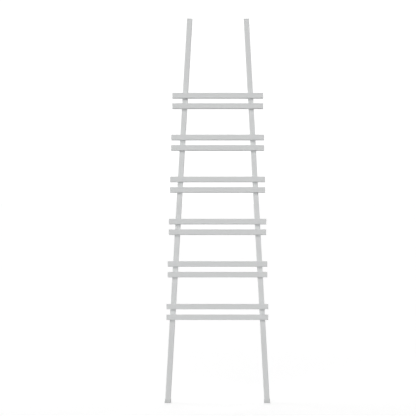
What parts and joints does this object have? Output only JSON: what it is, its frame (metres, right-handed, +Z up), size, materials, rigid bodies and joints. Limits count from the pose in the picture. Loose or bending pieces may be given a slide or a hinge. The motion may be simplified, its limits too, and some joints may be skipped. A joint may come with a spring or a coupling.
{
  "type": "quilt ladder rack",
  "caption": "Leaning ladder rack for quilts: splayed square-tube rails with pairs of level square bars across their fronts, foot caps, top plugs and wall pads.",
  "frame": {"origin": "on the floor, at the middle of the outline seen from above (the bounding box's bottom centre)", "axes": "+Z up; +Y back, towards the wall that the rack leans on; the front with the bars faces -Y; +X to the right as seen from the front"},
  "size_m": [0.494, 0.2212, 1.8165],
  "materials": {
    "powder_coat": "light grey powder coat, fine orange peel, low sheen",
    "plug_plastic": "light grey moulded polyethylene, satin",
    "foot_rubber": "light grey rubber, matt",
    "pad_rubber": "pale grey rubber, matt",
    "screw_steel": "zinc-plated steel"
  },
  "bodies": {
    "root": {"rail_left": "powder_coat", "top_plug_left": "plug_plastic", "foot_cap_left": "foot_rubber", "wall_pad_left": "pad_rubber", "rail_right": "powder_coat", "top_plug_right": "plug_plastic", "foot_cap_right": "foot_rubber", "wall_pad_right": "pad_rubber", "bar_1_upper": "powder_coat", "bar_1_lower": "powder_coat", "bar_2_upper": "powder_coat", "bar_2_lower": "powder_coat", "bar_3_upper": "powder_coat", "bar_3_lower": "powder_coat", "bar_4_upper": "powder_coat", "bar_4_lower": "powder_coat", "bar_5_upper": "powder_coat", "bar_5_lower": "powder_coat", "bar_6_upper": "powder_coat", "bar_6_lower": "powder_coat", "screw_1_upper_left": "screw_steel", "screw_1_upper_right": "screw_steel", "screw_1_lower_left": "screw_steel", "screw_1_lower_right": "screw_steel", "screw_2_upper_left": "screw_steel", "screw_2_upper_right": "screw_steel", "screw_2_lower_left": "screw_steel", "screw_2_lower_right": "screw_steel", "screw_3_upper_left": "screw_steel", "screw_3_upper_right": "screw_steel", "screw_3_lower_left": "screw_steel", "screw_3_lower_right": "screw_steel", "screw_4_upper_left": "screw_steel", "screw_4_upper_right": "screw_steel", "screw_4_lower_left": "screw_steel", "screw_4_lower_right": "screw_steel", "screw_5_upper_left": "screw_steel", "screw_5_upper_right": "screw_steel", "screw_5_lower_left": "screw_steel", "screw_5_lower_right": "screw_steel", "screw_6_upper_left": "screw_steel", "screw_6_upper_right": "screw_steel", "screw_6_lower_left": "screw_steel", "screw_6_lower_right": "screw_steel"}
  },
  "joints": []
}
